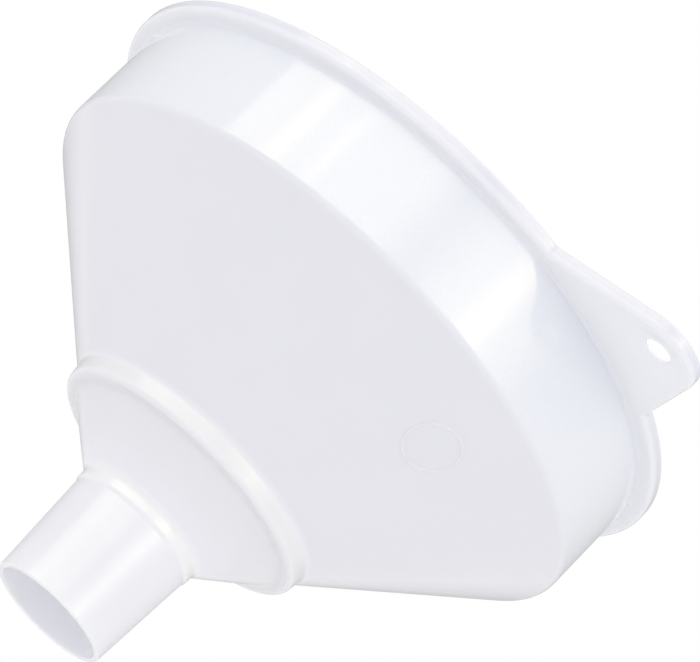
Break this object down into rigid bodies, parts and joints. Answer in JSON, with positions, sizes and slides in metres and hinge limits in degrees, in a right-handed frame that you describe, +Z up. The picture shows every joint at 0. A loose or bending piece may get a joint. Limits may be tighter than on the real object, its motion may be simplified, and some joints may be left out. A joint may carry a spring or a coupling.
{
  "type": "filter funnel",
  "caption": "Wide white plastic filter funnel with splash wall, step ring, short tapered stem, hanging tab and a lift-out perforated plate.",
  "frame": {"origin": "centre of the step ring's flat underside, the face that rests on a vessel's mouth", "axes": "+Z up along the funnel's axis towards the mouth, +X towards the hanging tab"},
  "size_m": [0.2775, 0.24, 0.1705],
  "materials": {
    "white_plastic": "satin, slightly translucent polypropylene",
    "plate_plastic": "satin",
    "seal_rubber": "matt silicone"
  },
  "bodies": {
    "funnel": {"funnel_body": "white_plastic"},
    "sieve": {"perforated_plate": "plate_plastic", "plate_seal": "seal_rubber"}
  },
  "joints": [
    {"name": "plate_lift", "type": "slide", "parent": "funnel", "child": "sieve", "axis": [0, 0, 1], "range_m": [0, 0.115]}
  ]
}
